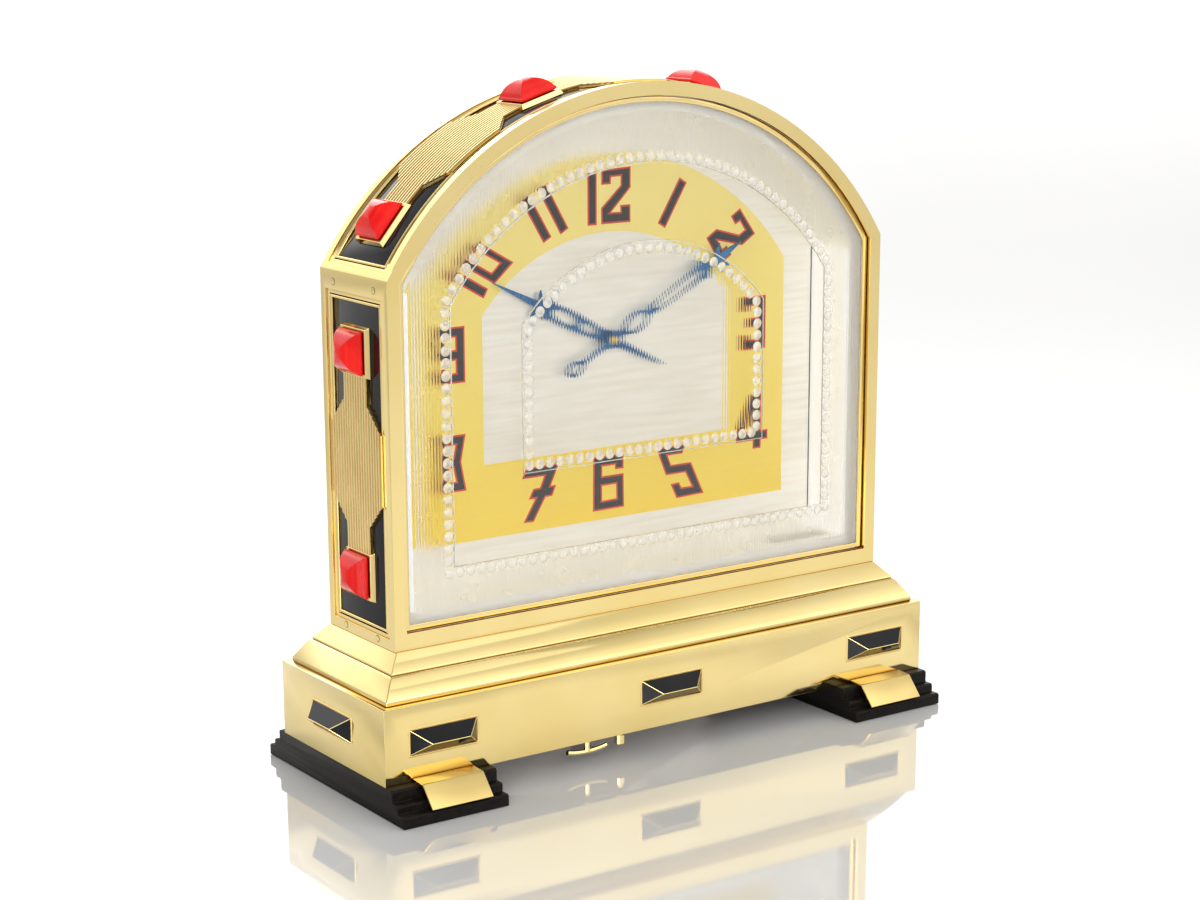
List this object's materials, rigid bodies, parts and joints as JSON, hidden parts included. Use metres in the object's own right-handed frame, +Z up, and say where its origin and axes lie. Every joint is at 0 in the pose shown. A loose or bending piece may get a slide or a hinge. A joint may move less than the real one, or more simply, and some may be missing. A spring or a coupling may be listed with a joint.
{
  "type": "night clock",
  "caption": "Desk clock with an arched gilt case on a stepped base, a lit dial behind patterned glass, black and red stone inlays, a rear door and a winding key under the base.",
  "frame": {"origin": "on the table, under the middle of the clock", "axes": "+X to the right as seen from the front, +Y to the back, +Z up; the dial faces -Y"},
  "size_m": [0.2092, 0.0824, 0.2025],
  "materials": {
    "gilt": "polished gilt",
    "gilt_reeded": "reeded gilt",
    "movement_brass": "satin",
    "black_stone": "polished black stone",
    "ebony": "matt black wood",
    "red_stone": "polished red stone",
    "clear_glass": "clear, moulded pattern",
    "silvered": "silvered, brushed sideways",
    "yellow_enamel": "pale yellow enamel",
    "white_paint": "white paint",
    "blued_steel": "blued",
    "steel": "satin",
    "dark_plastic": "matt"
  },
  "bodies": {
    "case": {"foot_right": "ebony", "foot_left": "ebony", "foot_strap_front_right": "gilt", "foot_strap_front_left": "gilt", "foot_strap_rear_right": "gilt", "foot_strap_rear_left": "gilt", "plinth": "gilt", "inlay_front_left": "black_stone", "inlay_front_middle": "black_stone", "inlay_front_right": "black_stone", "inlay_end_left": "black_stone", "inlay_end_right": "black_stone", "base_plate": "movement_brass", "lower_moulding": "gilt", "upper_moulding": "gilt", "case_body": "gilt", "panel_left": "black_stone", "panel_right": "black_stone", "panel_arch": "black_stone", "ornament_left": "gilt_reeded", "ornament_right": "gilt_reeded", "ornament_arch": "gilt_reeded", "stone_left_lower": "red_stone", "stone_left_upper": "red_stone", "stone_right_lower": "red_stone", "stone_right_upper": "red_stone", "stone_arch_1": "red_stone", "stone_arch_2": "red_stone", "stone_arch_3": "red_stone", "stone_arch_4": "red_stone", "glass_bezel": "gilt", "front_glass": "clear_glass", "light_liner": "white_paint", "dial_plate": "silvered", "chapter_ring": "yellow_enamel", "hinge_rod": "gilt", "movement_plate_lower": "movement_brass", "movement_plate_upper": "movement_brass", "escapement_platform": "steel", "motion_bracket": "movement_brass", "lamp_holder": "dark_plastic", "lamp_bulb": "clear_glass", "lamp_switch": "dark_plastic", "cable_bush": "dark_plastic"},
    "drive_shaft": {"drive_shaft": "steel"},
    "mainspring_barrel": {"mainspring_barrel": "movement_brass"},
    "third_wheel": {"third_wheel": "movement_brass"},
    "minute_group": {"minute_arbor": "movement_brass", "minute_hand": "blued_steel", "hand_nut": "gilt"},
    "minute_wheel": {"minute_wheel": "movement_brass"},
    "hour_group": {"hour_wheel": "movement_brass", "hour_hand": "blued_steel"},
    "winding_key": {"winding_key": "gilt"},
    "winding_wheel": {"winding_wheel": "steel"},
    "ratchet_wheel": {"ratchet_wheel": "steel"},
    "balance_wheel": {"balance_wheel": "movement_brass"},
    "rear_door": {"rear_door": "gilt", "door_knob": "gilt"},
    "lamp_button": {"lamp_button": "gilt"}
  },
  "joints": [
    {"name": "drive_shaft_spin", "type": "hinge", "parent": "case", "child": "drive_shaft", "pos_m": [0, 0.0128, 0.022], "axis": [0, 0, 1], "continuous": true},
    {"name": "barrel_spin", "type": "hinge", "parent": "case", "child": "mainspring_barrel", "pos_m": [-0.01961, 0.00527, 0.018], "axis": [0, 0, 1], "continuous": true},
    {"name": "third_wheel_spin", "type": "hinge", "parent": "case", "child": "third_wheel", "pos_m": [0.01327, 0.00351, 0.018], "axis": [0, 0, 1], "continuous": true},
    {"name": "minute_hand_spin", "type": "hinge", "parent": "case", "child": "minute_group", "pos_m": [0, 0.009, 0.12333], "axis": [0, 1, 0], "continuous": true},
    {"name": "minute_wheel_spin", "type": "hinge", "parent": "case", "child": "minute_wheel", "pos_m": [0.008, 0.0068, 0.12333], "axis": [0, 1, 0], "continuous": true},
    {"name": "hour_hand_spin", "type": "hinge", "parent": "case", "child": "hour_group", "pos_m": [0, 0.005, 0.12333], "axis": [0, 1, 0], "continuous": true},
    {"name": "winding_key_spin", "type": "hinge", "parent": "case", "child": "winding_key", "pos_m": [-0.028, -0.0255, 0.015], "axis": [0, 0, 1], "continuous": true},
    {"name": "winding_wheel_spin", "type": "hinge", "parent": "case", "child": "winding_wheel", "pos_m": [-0.03023, -0.01524, 0.02], "axis": [0, 0, 1], "continuous": true},
    {"name": "ratchet_wheel_spin", "type": "hinge", "parent": "case", "child": "ratchet_wheel", "pos_m": [-0.01961, 0.00527, 0.02], "axis": [0, 0, 1], "continuous": true},
    {"name": "balance_swing", "type": "hinge", "parent": "case", "child": "balance_wheel", "pos_m": [0.035, 0.003, 0.022], "axis": [0, 0, 1], "range_deg": [-120, 120], "stiffness_Nm_per_rad": 0.00001},
    {"name": "rear_door_swing", "type": "hinge", "parent": "case", "child": "rear_door", "pos_m": [-0.08542, 0.02094, 0.12], "axis": [0, 0, 1], "range_deg": [0, 110]},
    {"name": "lamp_button_press", "type": "slide", "parent": "case", "child": "lamp_button", "axis": [0, 0, 1], "range_m": [0, 0.0012], "stiffness_N_per_m": 200, "springref_m": -0.001}
  ],
  "couplings": [
    {"joint": "barrel_spin", "follows": "drive_shaft_spin", "ratio": -0.16667},
    {"joint": "third_wheel_spin", "follows": "drive_shaft_spin", "ratio": -8},
    {"joint": "minute_hand_spin", "follows": "drive_shaft_spin", "ratio": -1},
    {"joint": "minute_wheel_spin", "follows": "drive_shaft_spin", "ratio": 0.33333},
    {"joint": "hour_hand_spin", "follows": "drive_shaft_spin", "ratio": -0.083333},
    {"joint": "winding_wheel_spin", "follows": "winding_key_spin", "ratio": -0.25},
    {"joint": "ratchet_wheel_spin", "follows": "winding_key_spin", "ratio": 0.14286}
  ]
}
